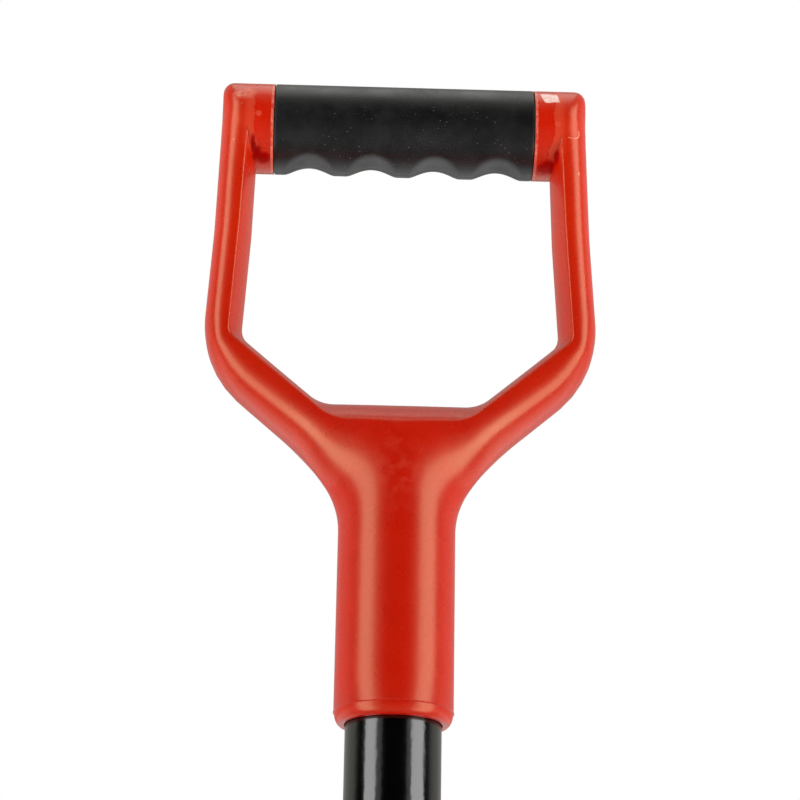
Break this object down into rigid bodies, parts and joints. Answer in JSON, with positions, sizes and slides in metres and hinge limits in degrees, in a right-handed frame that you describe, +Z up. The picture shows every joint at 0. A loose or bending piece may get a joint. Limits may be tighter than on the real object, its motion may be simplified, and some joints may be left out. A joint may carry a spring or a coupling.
{
  "type": "digging spade",
  "caption": "Digging spade: flat-edged pressed steel blade with boot treads and a riveted socket, a straight round shaft, and a moulded D handle with a soft finger-grooved grip.",
  "frame": {"origin": "on the floor plane under the shaft's axis, level with the middle of the cutting edge: the centre of the bounding box's bottom", "axes": "+Z up along the shaft from the cutting edge to the crossbar, X across the blade and the crossbar, -Y the blade's front face"},
  "size_m": [0.1902, 0.0413, 1.04],
  "materials": {
    "red_plastic": "deep orange-red moulded plastic, satin sheen with light handling marks",
    "grip_rubber": "black soft-touch rubber, matt with a broad sheen",
    "shaft_coating": "gloss black powder coating on steel tube",
    "blade_coating": "satin black powder coating on pressed steel",
    "weld_coating": "satin black coating over a ground weld bead",
    "zinc_steel": "zinc plated"
  },
  "bodies": {
    "root": {"yoke": "red_plastic", "grip_sleeve": "grip_rubber", "shaft_tube": "shaft_coating", "blade": "blade_coating", "upper_socket_rivet": "blade_coating", "lower_socket_rivet": "blade_coating", "yoke_screw": "zinc_steel", "left_tread": "blade_coating", "left_tread_front_weld": "weld_coating", "left_tread_rear_weld": "weld_coating", "right_tread": "blade_coating", "right_tread_front_weld": "weld_coating", "right_tread_rear_weld": "weld_coating", "socket_seam_weld": "weld_coating"}
  },
  "joints": []
}
